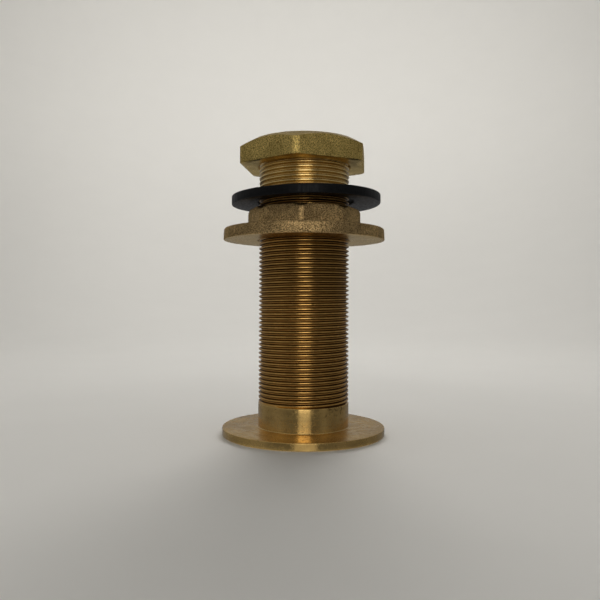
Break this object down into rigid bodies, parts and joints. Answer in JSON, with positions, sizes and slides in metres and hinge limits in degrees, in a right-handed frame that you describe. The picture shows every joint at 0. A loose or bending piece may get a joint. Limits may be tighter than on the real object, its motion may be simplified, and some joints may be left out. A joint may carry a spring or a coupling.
{
  "type": "thru hull fitting",
  "caption": "Flanged tube with an outside pipe thread, a flanged nut, a rubber washer and a hexagonal back nut, which passes water through a boat's hull.",
  "frame": {"origin": "centre of the outboard flange's underside, where the fitting's axis meets the plane it stands on", "axes": "+Z along the tube's axis from the outboard flange to the inboard threaded end; -Y towards the side that is seen from the front"},
  "size_m": [0.086, 0.086, 0.1536],
  "materials": {
    "body_brass": "turned, slightly tarnished",
    "cast_bronze": "sand-cast, matt, with a machined underside",
    "washer_rubber": "matt black moulded rubber",
    "cast_brass": "sand-cast, matt, with a turned chamfer and underside"
  },
  "bodies": {
    "hull_body": {"hull_body": "body_brass"},
    "rubber_washer": {"rubber_washer": "washer_rubber"},
    "flange_nut": {"flange_nut": "cast_bronze"},
    "hex_nut": {"hex_nut": "cast_brass"}
  },
  "joints": [
    {"name": "flange_nut_travel", "type": "slide", "parent": "hull_body", "child": "rubber_washer", "axis": [0, 0, 1], "range_m": [-0.08545, 0.00694]},
    {"name": "flange_nut_spin", "type": "hinge", "parent": "rubber_washer", "child": "flange_nut", "pos_m": [0, 0, 0.1023], "axis": [0, 0, 1], "range_deg": [-13320, 1080]},
    {"name": "hex_nut_slide", "type": "slide", "parent": "hull_body", "child": "hex_nut", "axis": [0, 0, 1], "range_m": [-0.00462, 0.01616]}
  ],
  "couplings": [
    {"joint": "flange_nut_travel", "follows": "flange_nut_spin", "m_per_rad": 0.00036749}
  ]
}
